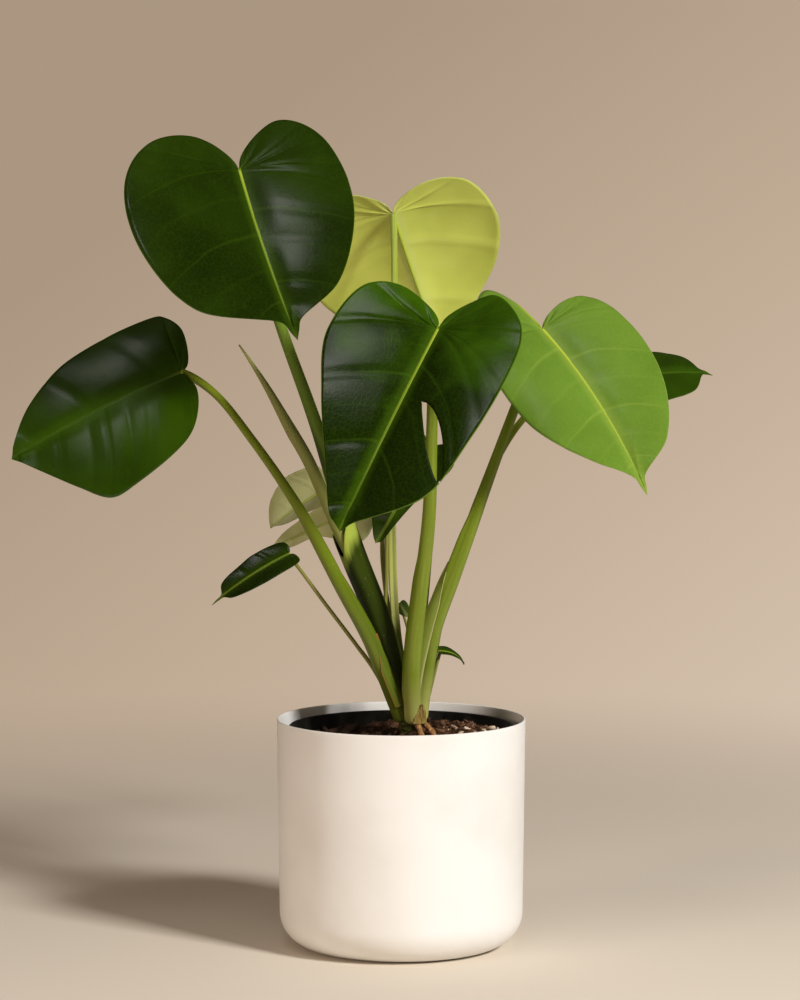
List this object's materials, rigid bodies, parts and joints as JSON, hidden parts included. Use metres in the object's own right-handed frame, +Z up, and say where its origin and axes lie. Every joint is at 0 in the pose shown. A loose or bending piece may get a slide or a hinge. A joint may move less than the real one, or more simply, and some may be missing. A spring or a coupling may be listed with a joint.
{
  "type": "potted monstera plant",
  "caption": "Young monstera with heart-shaped leaves, one of them split and one still rolled, growing in a nursery pot inside a plain white cylindrical cover pot.",
  "frame": {"origin": "middle of the cover pot's flat underside", "axes": "+Z up, along the pot's axis; -Y is the plant's front, which the split leaf faces; +X to the right seen from the front"},
  "size_m": [0.5242, 0.3066, 0.6119],
  "materials": {
    "cover_pot": "matte",
    "nursery_pot": "satin",
    "soil": "matte",
    "stem": "matte",
    "root": "matte",
    "sheath": "matte",
    "rolled_leaf": "satin",
    "petiole": "satin",
    "dark_leaf": "satin",
    "young_leaf": "satin"
  },
  "bodies": {
    "root": {"cover_pot": "cover_pot", "nursery_pot": "nursery_pot", "soil": "soil", "stem": "stem", "aerial_root_left": "root", "aerial_root_right": "root", "dried_sheath": "sheath", "rolled_leaf": "rolled_leaf", "high_left_blade": "dark_leaf", "high_left_petiole": "petiole", "back_blade": "young_leaf", "back_petiole": "petiole", "front_split_blade": "dark_leaf", "front_split_petiole": "petiole", "right_blade": "young_leaf", "right_petiole": "petiole", "far_left_blade": "dark_leaf", "far_left_petiole": "petiole", "far_right_blade": "dark_leaf", "far_right_petiole": "petiole", "low_left_blade": "dark_leaf", "low_left_petiole": "petiole", "back_left_upper_blade": "dark_leaf", "back_left_upper_petiole": "petiole", "back_left_lower_blade": "dark_leaf", "back_left_lower_petiole": "petiole", "middle_blade": "dark_leaf", "middle_petiole": "petiole", "tiny_blade": "dark_leaf", "tiny_petiole": "petiole", "low_right_blade": "dark_leaf", "low_right_petiole": "petiole"}
  },
  "joints": []
}
